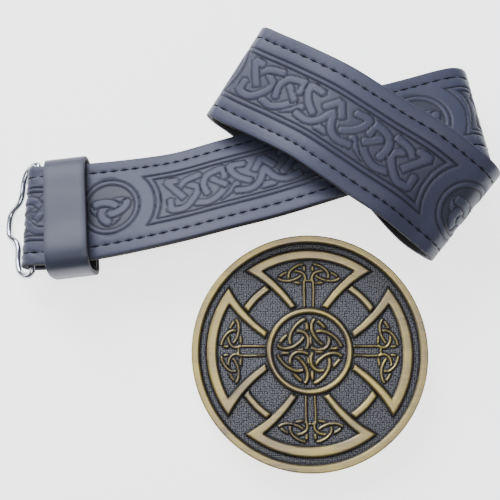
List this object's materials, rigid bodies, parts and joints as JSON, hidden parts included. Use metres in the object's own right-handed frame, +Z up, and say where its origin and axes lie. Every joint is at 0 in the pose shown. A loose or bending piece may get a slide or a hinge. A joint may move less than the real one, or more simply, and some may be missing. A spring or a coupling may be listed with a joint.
{
  "type": "kilt belt with keeper, wire end loop and separate round buckle",
  "caption": "Embossed leather kilt belt lying loosely wound, with a keeper, a wire end loop and a round knotwork buckle beside it.",
  "frame": {"origin": "on the floor, under the middle of the whole belt's bounding box", "axes": "+Z up from the floor, +X along the lower stretch from the wire loop towards the coil, +Y from the buckle towards the strap"},
  "size_m": [0.2334, 0.2086, 0.0472],
  "materials": {
    "strap_leather": "semi-gloss embossed leather, blue-black",
    "keeper_leather": "semi-gloss smooth leather, blue-black",
    "chrome_wire": "polished",
    "antique_brass": "antiqued, brushed on the raised parts"
  },
  "bodies": {
    "belt": {"strap": "strap_leather", "keeper": "keeper_leather", "buckle": "antique_brass"},
    "loop": {"wire_loop": "chrome_wire"}
  },
  "joints": [
    {"name": "loop_hinge", "type": "hinge", "parent": "belt", "child": "loop", "pos_m": [-0.1002, 0.01347, 0.0105], "axis": [-0.0346, 0.9897, -0.1392], "range_deg": [-45, 105]}
  ]
}
